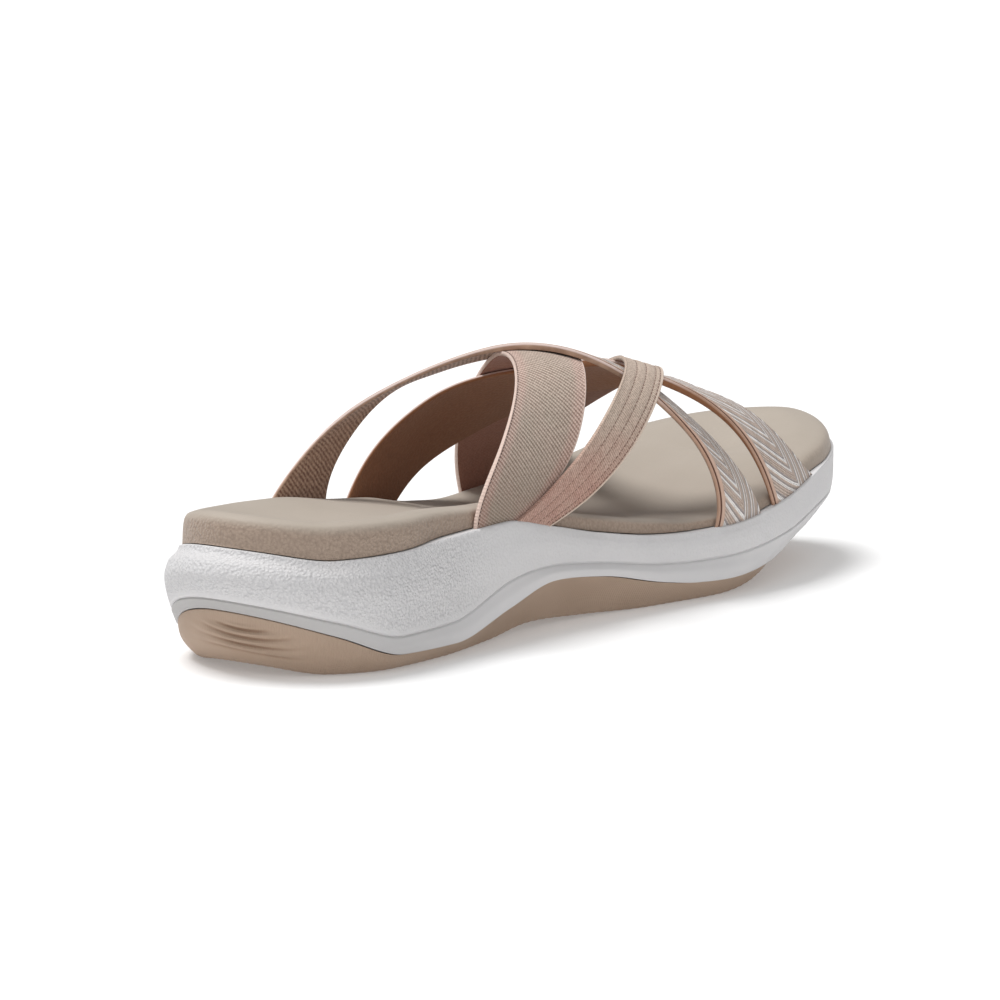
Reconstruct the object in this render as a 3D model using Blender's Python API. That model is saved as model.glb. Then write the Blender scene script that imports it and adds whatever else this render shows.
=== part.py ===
"""Left orthopedic sandal: rubber outsole, foam midsole, moulded footbed and a strap upper.

Sizes are in millimetres and become metres when a mesh is made. +X points to the toe, -Y is the
medial side of the foot and the sole stands on Z = 0.
"""
import math

import bmesh
import bpy
import numpy as np

MM = 0.001

# Driving dimensions of the sole and of the instep that the straps pass over.
LENGTH = 256.0
BALL_WIDTH = 87.0
HEEL_HEIGHT = 33.0
INSTEP_HEIGHT = 70.0
STATION = LENGTH / 100

# Fits between the pieces.
GAP = 0.3
STRAP_THICKNESS = 1.7
STRAP_LEDGE = GAP + STRAP_THICKNESS + GAP
BARE_LEDGE = 0.8

# Rubber: how far its top edge and its tread lie from the plan outline, its thickness, the step
# that the foam sits in, and the rounding, hollow and ribs of its side.
HEEL_FLARE = 0.7
TOE_TUCK = 7.0
TREAD_INSET = 2.0
TREAD_SLANT = 0.3
RUBBER = 3.5
RUBBER_RIM = 1.0
RUBBER_STEP = 2.0
ARCH_HOLLOW = 2.2
HEEL_ROUND = 1.8
HEEL_RIBS = 3
RIB_DEPTH = 0.5

# Foam: the lip over the rubber, the groove line above it and the swell of its side.
LIP = 1.6
LIP_HEEL_TUCK = 1.5
LIP_RISE = 0.45
LIP_TURN = 0.4
GROOVE_OUT = 0.9
GROOVE_HEEL_OUT = 1.8
GROOVE_TOE_TUCK = 0.2
GROOVE_DEPTH = 0.8
GROOVE_WIDTH = 1.6
HEEL_BULGE = 3.4
SIDE_BULGE = 1.2
SHOULDER = 0.75
EDGE_OUT = 0.5
EDGE_DROP = 1.2

# Footbed: how far its edge lies inside the ledge, at parts of the height of its wall.
FOOTBED_EDGE = ((0.2, 0.45), (0.6, 0.75), (1.6, 0.92), (3.5, 1.0))

# Mesh steps, and the parts of the way from the edge to the middle line at which rings lie.
SIDE_STEPS = 36
RING = 2 * SIDE_STEPS
STRAP_STEPS = 32
STRAP_BANDS = 5
CURVE_STEPS = 24
LEVELS_PER_RIB = 3
STEP_PARTS = (0.45, 0.88)
FLAT_PARTS = (0.3, 0.6, 0.88)
DISH_PARTS = (0.12, 0.28, 0.46, 0.66, 0.88)

# Zones along the sole, in percent of LENGTH.
HEEL_END = 23.5
ARCH_ZONE = (23.5, 35.0, 45.0, 56.5)
TOE_ZONE = (62.5, 84.0)
STRAP_ZONE = (15.0, 21.0, 83.0, 89.0)

# Plan of the sole: half widths as parts of BALL_WIDTH. Stations are in percent of LENGTH here and
# in the tables below.
PLAN_COLUMNS = ("station", "medial", "lateral")
PLAN = (
    (3.1, 0.230, 0.230),
    (11.7, 0.368, 0.368),
    (27.3, 0.379, 0.391),
    (43.0, 0.368, 0.448),
    (58.6, 0.425, 0.506),
    (74.2, 0.492, 0.494),
    (87.1, 0.414, 0.402),
    (95.7, 0.266, 0.236),
)
TOE_TIP_SIDE = -3.0

# Side of the sole, one row per section: seam under the footbed as a part of HEEL_HEIGHT, then
# the footbed's wall above it, the top edge of the rubber, the groove above that edge and the
# lift of the tread off the floor.
SIDE_COLUMNS = ("station", "seam_medial", "seam_lateral", "wall_medial", "wall_lateral",
                "rubber_medial", "rubber_lateral", "band", "lift")
SIDE = (
    (0.0, 1.03, 1.03, 8.5, 8.5, 17.6, 17.6, 3.3, 2.6),
    (6.0, 0.94, 0.895, 9.5, 9.5, 11.2, 8.2, 4.1, 0.2),
    (13.5, 0.95, 0.85, 8.7, 9.3, 4.4, 5.5, 5.2, 0.0),
    (21.5, 0.985, 0.835, 6.9, 9.0, 4.1, 3.5, 5.9, 0.0),
    (31.0, 1.00, 0.76, 4.6, 7.6, 9.9, 7.0, 7.0, 0.6),
    (39.0, 0.88, 0.70, 4.4, 6.8, 14.0, 10.0, 4.3, 2.0),
    (47.0, 0.739, 0.62, 4.4, 5.4, 12.3, 9.0, 3.9, 1.0),
    (56.5, 0.622, 0.56, 3.9, 5.0, 7.4, 6.5, 5.3, 0.0),
    (61.5, 0.60, 0.578, 2.8, 5.0, 5.7, 5.9, 6.2, 0.0),
    (66.5, 0.607, 0.605, 2.6, 5.0, 5.2, 5.5, 6.7, 0.0),
    (76.0, 0.73, 0.70, 3.6, 5.0, 7.5, 9.5, 7.3, 2.0),
    (86.0, 0.895, 0.865, 5.2, 5.5, 11.5, 13.0, 7.6, 7.5),
    (100.0, 1.03, 1.03, 6.0, 6.0, 15.0, 15.0, 6.5, 11.5),
)

# Middle of the footbed's top and of the foam's top below it.
MIDDLE_COLUMNS = ("station", "top", "floor")
MIDDLE = (
    (12.5, 34.5, 27.5),
    (21.5, 34.5, 27.5),
    (31.0, 32.5, 26.5),
    (39.0, 29.0, 24.2),
    (47.0, 25.0, 20.5),
    (56.5, 21.0, 17.0),
    (66.5, 20.3, 16.5),
    (76.0, 24.8, 21.0),
    (84.0, 31.0, 26.0),
)

# Instep sections: height of the strap surface at a quarter, half and three quarters of the way
# over the foot, from the medial to the lateral side, as parts of INSTEP_HEIGHT.
INSTEP_COLUMNS = ("station", "medial", "ridge", "lateral")
INSTEP = (
    (23.5, 0.81, 0.91, 0.785),
    (35.0, 0.837, 0.986, 0.843),
    (47.0, 0.82, 1.0, 0.82),
    (58.5, 0.774, 0.904, 0.686),
    (70.5, 0.70, 0.757, 0.60),
    (82.0, 0.611, 0.643, 0.54),
)
RIDGE_SHIFT = -0.2

# Straps from the medial to the lateral side: stations of the rear and front edge along the way
# over the foot, and how far each edge stands off the instep. Layers count outwards from the foot.
STRAP_COLUMNS = ("way", "rear", "front", "rear_lift", "front_lift")
STRAPS = {
    "back_chevron": (
        (0.0, 65.0, 71.8, 0.0, 0.0),
        (0.2, 61.2, 64.4, 0.1, 0.1),
        (0.4, 52.8, 57.0, 0.3, 0.3),
        (0.6, 44.7, 52.0, -0.4, 0.0),
        (0.8, 33.2, 41.2, -0.4, 0.0),
        (1.0, 21.3, 33.0, 0.0, 0.0),
    ),
    "twill": (
        (0.0, 26.0, 34.4, 0.0, 0.0),
        (0.2, 32.8, 46.1, 0.0, 0.0),
        (0.4, 41.9, 53.1, -0.2, -0.2),
        (0.6, 49.3, 60.4, -0.2, -0.2),
        (0.8, 55.9, 66.9, 0.0, 0.0),
        (1.0, 61.2, 71.5, 0.0, 0.0),
    ),
    "front_chevron": (
        (0.0, 74.0, 83.5, 0.0, 0.0),
        (0.2, 70.0, 76.8, 0.5, 0.5),
        (0.4, 62.9, 71.3, 1.9, 1.2),
        (0.6, 54.1, 66.6, 0.5, 0.4),
        (0.8, 45.3, 58.5, 0.0, 0.0),
        (1.0, 36.0, 45.2, 0.0, 0.0),
    ),
    "stitched": (
        (0.0, 33.4, 39.5, 0.0, 0.0),
        (0.2, 48.6, 55.6, 0.3, 0.2),
        (0.4, 59.1, 64.8, 0.0, 0.0),
        (0.6, 64.7, 70.4, -1.2, -0.5),
        (0.8, 70.0, 75.2, 0.1, 0.2),
        (1.0, 74.3, 79.9, 0.0, 0.0),
    ),
}
# Where the front edge of a strap bends up: middle and half length of the way, and the rise.
FRONT_BENDS = {"back_chevron": (0.785, 0.07, 3.0)}
STRAP_LAYERS = ("front_chevron", "twill", "back_chevron", "stitched")
LAYER_STEP = 1.2
LAYER_RAMP = 0.18
STITCHED_FOOT = 0.9

COLOURS = {
    "outsole": (0.48, 0.30, 0.19, 1.0),
    "midsole": (0.78, 0.77, 0.75, 1.0),
    "footbed": (0.42, 0.35, 0.28, 1.0),
    "upper": (0.50, 0.36, 0.29, 1.0),
}
ROUGHNESS = 0.7


def smooth(x, xs, ys):
    """Cubic through the rows of a table that never swings past its own values."""
    xs = np.asarray(xs, float)
    ys = np.asarray(ys, float)
    x = np.clip(np.asarray(x, float), xs[0], xs[-1])
    step = np.diff(xs)
    rise = np.diff(ys) / step
    slope = np.zeros_like(ys)
    same = rise[:-1] * rise[1:] > 0
    both = np.where(same, rise[:-1] + rise[1:], 1.0)
    slope[1:-1] = np.where(same, 2 * rise[:-1] * rise[1:] / both, 0.0)
    slope[0] = rise[0]
    slope[-1] = rise[-1]
    k = np.clip(np.searchsorted(xs, x, side="right") - 1, 0, len(step) - 1)
    t = (x - xs[k]) / step[k]
    first = ys[k] * (1 + 2 * t) * (1 - t) ** 2 + ys[k + 1] * t * t * (3 - 2 * t)
    return first + step[k] * t * (1 - t) * (slope[k] * (1 - t) - slope[k + 1] * t)


def ease(t):
    """Soft step from 0 to 1."""
    t = np.clip(t, 0.0, 1.0)
    return t * t * (3 - 2 * t)


def column(rows, names, name):
    """One named column of a table."""
    return np.array([row[names.index(name)] for row in rows])


def table(rows, names, name, x):
    """Value of a named column at places x along the sole."""
    return smooth(x, column(rows, names, "station") * STATION, column(rows, names, name))


def zone(x, start, full):
    """Soft step that starts at one station and is full at another."""
    return ease((x / STATION - start) / (full - start))


def closed_curve(points):
    """Dense closed curve through points, as short cubic pieces."""
    points = np.asarray(points, float)
    before = np.roll(points, 1, axis=0)
    after = np.roll(points, -1, axis=0)
    beyond = np.roll(points, -2, axis=0)
    t = np.linspace(0, 1, CURVE_STEPS, endpoint=False)[None, :, None]
    a, p, b, c = (q[:, None, :] for q in (before, points, after, beyond))
    curve = 0.5 * (2 * p + (b - a) * t + (2 * a - 5 * p + 4 * b - c) * t ** 2
                   + (3 * p - a - 3 * b + c) * t ** 3)
    return curve.reshape(-1, 2)


def even_steps(line, count):
    """Points at even spacing along a line, without its last point."""
    run = np.r_[0, np.cumsum(np.hypot(*np.diff(line, axis=0).T))]
    at = np.linspace(0, run[-1], count, endpoint=False)
    return np.column_stack([np.interp(at, run, line[:, k]) for k in (0, 1)])


def plan_outline():
    """Ring of points round the sole: heel, medial side, toe and lateral side."""
    x = column(PLAN, PLAN_COLUMNS, "station") * STATION
    medial = np.column_stack([x, -column(PLAN, PLAN_COLUMNS, "medial") * BALL_WIDTH])
    lateral = np.column_stack([x, column(PLAN, PLAN_COLUMNS, "lateral") * BALL_WIDTH])
    rows = np.vstack([(0.0, 0.0), medial, (LENGTH, TOE_TIP_SIDE), lateral[::-1]])
    curve = closed_curve(rows)
    toe = (len(medial) + 1) * CURVE_STEPS
    closed = np.vstack([curve, curve[:1]])
    ring = np.vstack([even_steps(closed[:toe + 1], SIDE_STEPS),
                      even_steps(closed[toe:], SIDE_STEPS)])
    along = np.roll(ring, -1, axis=0) - np.roll(ring, 1, axis=0)
    out = np.column_stack([along[:, 1], -along[:, 0]])
    return ring, out / np.hypot(*out.T)[:, None]


PLAN_RING, PLAN_OUT = plan_outline()
RING_X = np.clip(PLAN_RING[:, 0], 0, LENGTH)
LATERAL = np.arange(RING) > SIDE_STEPS
TOWARD_HEEL = np.clip(1 - RING_X / (HEEL_END * STATION), 0, 1)
TOWARD_TOE = zone(RING_X, *TOE_ZONE)
TOWARD_ARCH = zone(RING_X, *ARCH_ZONE[:2]) - zone(RING_X, *ARCH_ZONE[2:])
UNDER_STRAPS = zone(RING_X, *STRAP_ZONE[:2]) - zone(RING_X, *STRAP_ZONE[2:])


def side(name):
    """A height column of the sole's side at every point of the ring."""
    if name in SIDE_COLUMNS:
        return table(SIDE, SIDE_COLUMNS, name, RING_X)
    medial = table(SIDE, SIDE_COLUMNS, name + "_medial", RING_X)
    lateral = table(SIDE, SIDE_COLUMNS, name + "_lateral", RING_X)
    return np.where(LATERAL, lateral, medial)


SEAM = side("seam") * HEEL_HEIGHT
RUBBER_EDGE = side("rubber")
BAND = side("band")
LIFT = side("lift")
WALL = side("wall")
LEDGE = BARE_LEDGE + (STRAP_LEDGE - BARE_LEDGE) * UNDER_STRAPS
RUBBER_OUT = HEEL_FLARE * TOWARD_HEEL - TOE_TUCK * TOWARD_TOE
TREAD_IN = -TREAD_INSET - TREAD_SLANT * RUBBER_EDGE - TOE_TUCK * TOWARD_TOE


def ring_at(offset, z):
    """Ring of points at an offset from the plan outline."""
    xy = PLAN_RING + PLAN_OUT * np.broadcast_to(offset, (RING,))[:, None]
    return np.column_stack([xy, np.broadcast_to(z, (RING,))])


def sides_at(x):
    """Medial and lateral edge of the plan outline at places x along the sole."""
    medial = PLAN_RING[:SIDE_STEPS + 1]
    lateral = PLAN_RING[:SIDE_STEPS - 1:-1]
    return np.interp(x, *medial.T), np.interp(x, *lateral.T)


def spine():
    """Point on the middle line of the sole that each point of the ring looks at."""
    first, *_, last = column(MIDDLE, MIDDLE_COLUMNS, "station") * STATION
    x = np.clip(RING_X, first, last)
    medial, lateral = sides_at(x)
    return np.column_stack([x, (medial + lateral) / 2])


SPINE = spine()


def inward(ring, parts, middle):
    """Rings from a border ring towards the middle line, with the height blending to middle."""
    rings = []
    for part in parts:
        xy = ring[:, :2] * (1 - part) + SPINE * part
        blend = ease(part / parts[-1])
        rings.append(np.column_stack([xy, ring[:, 2] * (1 - blend) + middle * blend]))
    return rings


def solid_from_rings(name, rings):
    """Closed body through a run of rings, with a seam of faces across each end ring."""
    mesh = bmesh.new()
    grid = [[mesh.verts.new(point * MM) for point in ring] for ring in rings]
    for low, high in zip(grid, grid[1:]):
        for i in range(RING):
            j = (i + 1) % RING
            mesh.faces.new((low[i], low[j], high[j], high[i]))
    for ring, turn in ((grid[0], -1), (grid[-1], 1)):
        for i in range(SIDE_STEPS):
            corners = [ring[i], ring[i + 1], ring[(RING - i - 1) % RING], ring[(RING - i) % RING]]
            mesh.faces.new(list(dict.fromkeys(corners))[::turn])
    return add_object(name, mesh)


def add_object(name, mesh):
    """Object with its own material from a finished mesh."""
    bmesh.ops.triangulate(mesh, faces=mesh.faces[:])
    bmesh.ops.recalc_face_normals(mesh, faces=mesh.faces[:])
    data = bpy.data.meshes.new(name)
    mesh.to_mesh(data)
    mesh.free()
    piece = bpy.data.objects.new(name, data)
    bpy.context.scene.collection.objects.link(piece)
    return piece


def paint(piece, name):
    """Plain Principled material."""
    material = bpy.data.materials.new(name)
    material.use_nodes = True
    shader = material.node_tree.nodes["Principled BSDF"]
    shader.inputs["Base Color"].default_value = COLOURS[name]
    shader.inputs["Roughness"].default_value = ROUGHNESS
    piece.data.materials.clear()
    piece.data.materials.append(material)


def outsole_wall():
    """Side of the rubber: rounded with soft ribs at the heel, hollow under the arch."""
    rings = []
    for level in np.linspace(0, 1, LEVELS_PER_RIB * HEEL_RIBS + 1):
        arc = math.sin(math.pi * level)
        bow = (HEEL_ROUND * TOWARD_HEEL - ARCH_HOLLOW * TOWARD_ARCH) * arc
        rib = RIB_DEPTH * math.cos(2 * math.pi * HEEL_RIBS * level) * TOWARD_HEEL * arc
        offset = TREAD_IN * (1 - level) + RUBBER_OUT * level + bow + rib
        rings.append(ring_at(offset, LIFT + (RUBBER_EDGE - LIFT) * level))
    return rings


def rubber_bed(clear):
    """Rings of the joint between rubber and foam, raised and drawn in by a clearance."""
    rim_in = TREAD_IN - RUBBER_RIM - ARCH_HOLLOW * TOWARD_ARCH - clear
    rim = ring_at(rim_in, RUBBER_EDGE + clear)
    foot = ring_at(rim_in - RUBBER_STEP, LIFT + RUBBER + clear)
    lift = table(SIDE, SIDE_COLUMNS, "lift", SPINE[:, 0])
    return [rim, foot] + inward(foot, STEP_PARTS, lift + RUBBER + clear)


def outsole():
    """Rubber sole that lies flat under heel and forefoot and lifts at arch and toe."""
    wall = outsole_wall()
    lift = table(SIDE, SIDE_COLUMNS, "lift", SPINE[:, 0])
    tread = inward(wall[0], FLAT_PARTS, lift)
    return solid_from_rings("outsole", tread[::-1] + wall + rubber_bed(0.0))


def bed_rings(clear):
    """Rings of the joint between foam and footbed."""
    edge = ring_at(-LEDGE, SEAM + clear)
    floor = table(MIDDLE, MIDDLE_COLUMNS, "floor", SPINE[:, 0])
    return [edge] + inward(edge, FLAT_PARTS, floor + clear)


def midsole():
    """Foam wedge with a lip over the rubber, a groove line and a bulging heel."""
    foot = RUBBER_EDGE + GAP
    groove = RUBBER_EDGE + BAND
    groove_out = GROOVE_OUT + GROOVE_HEEL_OUT * TOWARD_HEEL - GROOVE_TOE_TUCK * TOE_TUCK * TOWARD_TOE
    lip = LIP - LIP_HEEL_TUCK * TOWARD_HEEL
    lip_out = RUBBER_OUT * (1 - LIP_TURN) + groove_out * LIP_TURN + lip
    bulge = SIDE_BULGE + HEEL_BULGE * TOWARD_HEEL - SIDE_BULGE * TOWARD_TOE
    middle = (groove + SEAM) / 2
    wall = [
        ring_at(RUBBER_OUT + lip, foot),
        ring_at(lip_out, foot + LIP_RISE * BAND),
        ring_at(groove_out, groove - GROOVE_WIDTH / 2),
        ring_at(groove_out - GROOVE_DEPTH, groove),
        ring_at(groove_out, groove + GROOVE_WIDTH / 2),
        ring_at(bulge, middle),
        ring_at(bulge * SHOULDER, (middle + SEAM) / 2),
        ring_at(EDGE_OUT, SEAM - EDGE_DROP),
        ring_at(0.0, SEAM),
    ]
    bottom = rubber_bed(GAP)
    return solid_from_rings("midsole", bottom[::-1] + wall + bed_rings(0.0))


def footbed():
    """Moulded insole with a rolled edge, a heel cup and a rising arch side."""
    wall = [ring_at(-LEDGE - inset, SEAM + part * WALL) for inset, part in FOOTBED_EDGE]
    top = table(MIDDLE, MIDDLE_COLUMNS, "top", SPINE[:, 0])
    dish = inward(wall[-1], DISH_PARTS, top)
    return solid_from_rings("footbed", bed_rings(GAP)[::-1] + wall + dish)


def instep(x, way, out):
    """Point of the strap surface at a station and a way over the foot, moved out by out."""
    medial, lateral = sides_at(x)
    inset = GAP + STRAP_THICKNESS / 2
    half = (lateral - medial) / 2 - inset + out
    turn = -np.cos(math.pi * way)
    y = (lateral + medial) / 2 + half * turn + RIDGE_SHIFT * half * (1 - turn ** 2)
    heights = [table(SIDE, SIDE_COLUMNS, "seam_medial", x) * HEEL_HEIGHT + GAP]
    for name in INSTEP_COLUMNS[1:]:
        heights.append(INSTEP_HEIGHT * table(INSTEP, INSTEP_COLUMNS, name, x))
    heights.append(table(SIDE, SIDE_COLUMNS, "seam_lateral", x) * HEEL_HEIGHT + GAP)
    z = arch_height(way, heights) + out * np.sin(math.pi * way)
    return np.stack([x, y, z], axis=-1)


def arch_height(way, heights):
    """Smooth curve through evenly spaced heights, from side to side."""
    knots = np.linspace(0, 1, len(heights))
    z = 0.0
    for k, height in enumerate(heights):
        weight = 1.0
        for j, knot in enumerate(knots):
            if j != k:
                weight = weight * (way - knot) / (knots[k] - knot)
        z = z + weight * height
    return z


def strap_sheet(name):
    """Middle surface of a strap as a grid of points, across by along."""
    rows = STRAPS[name]
    way = np.linspace(0, 1, STRAP_STEPS + 1)
    rear = strap_edge(rows, "rear", way)
    front = strap_edge(rows, "front", way)
    across = np.linspace(0, 1, STRAP_BANDS + 1)[:, None]
    x = (rear * (1 - across) + front * across) * STATION
    ramp = ease(np.minimum(way, 1 - way) / LAYER_RAMP)
    foot = STITCHED_FOOT if name == "stitched" else 0.0
    out = foot + (LAYER_STEP * STRAP_LAYERS.index(name) - foot) * ramp
    sheet = instep(x, np.broadcast_to(way, x.shape), np.broadcast_to(out, x.shape))
    rear_lift = strap_edge(rows, "rear_lift", way)
    front_lift = strap_edge(rows, "front_lift", way)
    if name in FRONT_BENDS:
        middle, reach, rise = FRONT_BENDS[name]
        front_lift = front_lift + rise * np.exp(-((way - middle) / reach) ** 2)
    sheet[..., 2] += rear_lift * (1 - across) + front_lift * across
    return sheet


def strap_edge(rows, name, way):
    """Smooth run of a strap's edge through the rows of its table."""
    return arch_height(way, column(rows, STRAP_COLUMNS, name))


def sheet_normals(sheet):
    """Outward unit normals of a strap's grid of points."""
    across = np.gradient(sheet, axis=0)
    along = np.gradient(sheet, axis=1)
    normal = np.cross(across, along)
    return normal / np.linalg.norm(normal, axis=2, keepdims=True)


def strap(name):
    """Closed band of the strap's real thickness."""
    sheet = strap_sheet(name)
    half = sheet_normals(sheet) * STRAP_THICKNESS / 2
    mesh = bmesh.new()
    faces = []
    for layer in (sheet + half, sheet - half):
        faces.append([[mesh.verts.new(point * MM) for point in row] for row in layer])
    outer, inner = faces
    for i in range(STRAP_BANDS):
        for j in range(STRAP_STEPS):
            for grid, turn in ((outer, 1), (inner, -1)):
                corners = (grid[i][j], grid[i + 1][j], grid[i + 1][j + 1], grid[i][j + 1])
                mesh.faces.new(corners[::turn])
    for i in (0, STRAP_BANDS):
        for j in range(STRAP_STEPS):
            mesh.faces.new((outer[i][j], outer[i][j + 1], inner[i][j + 1], inner[i][j]))
    for j in (0, STRAP_STEPS):
        for i in range(STRAP_BANDS):
            mesh.faces.new((outer[i][j], outer[i + 1][j], inner[i + 1][j], inner[i][j]))
    return add_object("strap_" + name, mesh)


def upper():
    """Four straps joined into one hollow solid where they cross."""
    pieces = [strap(name) for name in STRAP_LAYERS]
    body = pieces[0]
    body.name = "upper"
    body.data.name = "upper"
    for piece in pieces[1:]:
        join = body.modifiers.new("join", "BOOLEAN")
        join.operation = "UNION"
        join.solver = "EXACT"
        join.object = piece
        bpy.context.view_layer.update()
        shape = body.evaluated_get(bpy.context.evaluated_depsgraph_get())
        joined = bpy.data.meshes.new_from_object(shape)
        body.modifiers.clear()
        body.data = joined
        bpy.data.objects.remove(piece)
    return body


def stand_on_origin(pieces):
    """Put the middle of the sandal's bounding box above the origin, with the sole on Z = 0."""
    points = np.array([v.co for piece in pieces for v in piece.data.vertices])
    low, high = points.min(axis=0), points.max(axis=0)
    shift = np.array([(low[0] + high[0]) / 2, (low[1] + high[1]) / 2, low[2]])
    for piece in pieces:
        for vertex in piece.data.vertices:
            vertex.co = np.array(vertex.co) - shift


def main():
    for old in list(bpy.data.objects):
        bpy.data.objects.remove(old)
    pieces = {"outsole": outsole(), "midsole": midsole(), "footbed": footbed(), "upper": upper()}
    stand_on_origin(list(pieces.values()))
    for name, piece in pieces.items():
        paint(piece, name)


main()
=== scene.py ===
"""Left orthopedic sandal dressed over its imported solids, with a floor, soft light and a camera.

Lengths are in millimetres until a mesh is made. +X points to the toe, -Y is the medial side of the
foot and the sole stands on Z = 0.
"""
import math

import bpy
import numpy as np
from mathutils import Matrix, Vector


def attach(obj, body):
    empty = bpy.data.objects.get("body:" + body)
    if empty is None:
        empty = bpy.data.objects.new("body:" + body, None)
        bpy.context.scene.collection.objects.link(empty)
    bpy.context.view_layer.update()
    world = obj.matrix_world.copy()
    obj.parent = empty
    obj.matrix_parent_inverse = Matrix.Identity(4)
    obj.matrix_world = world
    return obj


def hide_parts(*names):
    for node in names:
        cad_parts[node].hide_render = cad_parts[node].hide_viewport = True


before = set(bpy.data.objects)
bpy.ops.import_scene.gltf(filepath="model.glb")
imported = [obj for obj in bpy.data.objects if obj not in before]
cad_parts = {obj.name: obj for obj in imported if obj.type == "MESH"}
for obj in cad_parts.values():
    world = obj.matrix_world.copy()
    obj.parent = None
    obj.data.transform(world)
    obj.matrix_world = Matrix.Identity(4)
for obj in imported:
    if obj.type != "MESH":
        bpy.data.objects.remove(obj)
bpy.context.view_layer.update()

MM = 0.001

# Driving sizes of the sole and of the instep that the straps pass over, as in the solids.
LENGTH = 256.0
BALL_WIDTH = 87.0
HEEL_HEIGHT = 33.0
INSTEP_HEIGHT = 70.0
STATION = LENGTH / 100

# Where the part's origin lies in the plan, which starts at the heel.
PLAN_ORIGIN = (125.95, 1.511)

# Fits between the pieces.
GAP = 0.3
STRAP_THICKNESS = 1.7
STRAP_LEDGE = GAP + STRAP_THICKNESS + GAP
BARE_LEDGE = 0.8

# Rubber: how far its top edge and its tread lie from the plan outline, its thickness, the step
# that the foam sits in, and the rounding and hollow of its side.
HEEL_FLARE = 0.7
TOE_TUCK = 7.0
TREAD_INSET = 2.0
TREAD_SLANT = 0.3
RUBBER = 3.5
RUBBER_RIM = 1.0
RUBBER_STEP = 2.0
ARCH_HOLLOW = 2.2
HEEL_ROUND = 1.8

# Fine forms of the rubber: the rounded and notched edge of its tread, and ripples in the back of
# the heel. They ring a point of the rubber's top edge, stretched along it, between two depths.
TREAD_ROUND = 0.8
TREAD_PITCH = 3.2
TREAD_NOTCH = 0.35
RIPPLE_CENTRE = 6.5
RIPPLE_STRETCH = 2.6
RIPPLE_SPAN = 13.0
RIPPLE_START = 3.0
RIPPLE_END = 9.5
RIPPLE_PITCH = 2.2
RIPPLE_DEPTH = 0.55

# Foam: the lip over the rubber, the fine groove line above it, the swell of its side and the
# turned edge at its top.
LIP = 1.6
LIP_HEEL_TUCK = 1.5
LIP_RISE = 0.45
LIP_TURN = 0.4
LIP_UNDERCUT = 0.5
GROOVE_OUT = 0.9
GROOVE_HEEL_OUT = 1.8
GROOVE_TOE_TUCK = 0.2
GROOVE_DEPTH = 0.6
GROOVE_WIDTH = 0.32
GROOVE_REACH = 2.5 * GROOVE_WIDTH
HEEL_BULGE = 3.4
SIDE_BULGE = 1.2
SHOULDER = 0.75
EDGE_OUT = 0.5
EDGE_DROP = 1.2
EDGE_TURN = 0.4
EDGE_CROWN = 0.1

# Footbed: how far its edge lies inside the ledge at parts of the height of its wall, and how much
# wider that edge rolls at the toe.
FOOTBED_EDGE = ((0.0, 0.0), (0.2, 0.45), (0.6, 0.75), (1.6, 0.92), (3.5, 1.0))
TOE_ROLL = 1.4

# Covers: share of the grain outside the grainy zone, height over the groove at which the foam's
# grain is full, parts of the footbed's wall where its cover turns smooth, and its fade at the toe.
FOAM_GRAIN = 0.2
FOAM_GRAIN_RISE = 3.0
BED_GRAIN = 0.35
COVER_TURN = (0.6, 0.98)
COVER_TOE_FADE = 0.6

# Mesh steps, and the parts of the way from the edge to the middle line at which rings lie.
SIDE_STEPS = 360
RING = 2 * SIDE_STEPS
CURVE_STEPS = 96
RUBBER_LEVELS = 56
FOAM_LEVELS = (14, 22, 34)
BED_LEVELS = 26
STRAP_STEPS = 260
FACE_STEPS = 26
ROUND_STEPS = 8
SEAM_STEPS = 2000
STEP_PARTS = (0.45, 0.88)
FLAT_PARTS = (0.3, 0.6, 0.88)
TREAD_PARTS = (0.05, 0.15, 0.3, 0.6, 0.88)
DISH_PARTS = np.linspace(0.03, 0.88, 26)

# Zones along the sole, in percent of LENGTH.
HEEL_END = 23.5
ARCH_ZONE = (23.5, 35.0, 45.0, 56.5)
TOE_ZONE = (62.5, 84.0)
STRAP_ZONE = (15.0, 21.0, 83.0, 89.0)
GRAIN_ZONE = (-4.0, 1.0, 18.0, 32.0)

# Plan of the sole: half widths as parts of BALL_WIDTH. Stations are in percent of LENGTH here and
# in the tables below.
PLAN_COLUMNS = ("station", "medial", "lateral")
PLAN = (
    (3.1, 0.230, 0.230),
    (11.7, 0.368, 0.368),
    (27.3, 0.379, 0.391),
    (43.0, 0.368, 0.448),
    (58.6, 0.425, 0.506),
    (74.2, 0.492, 0.494),
    (87.1, 0.414, 0.402),
    (95.7, 0.266, 0.236),
)
TOE_TIP_SIDE = -3.0

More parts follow.
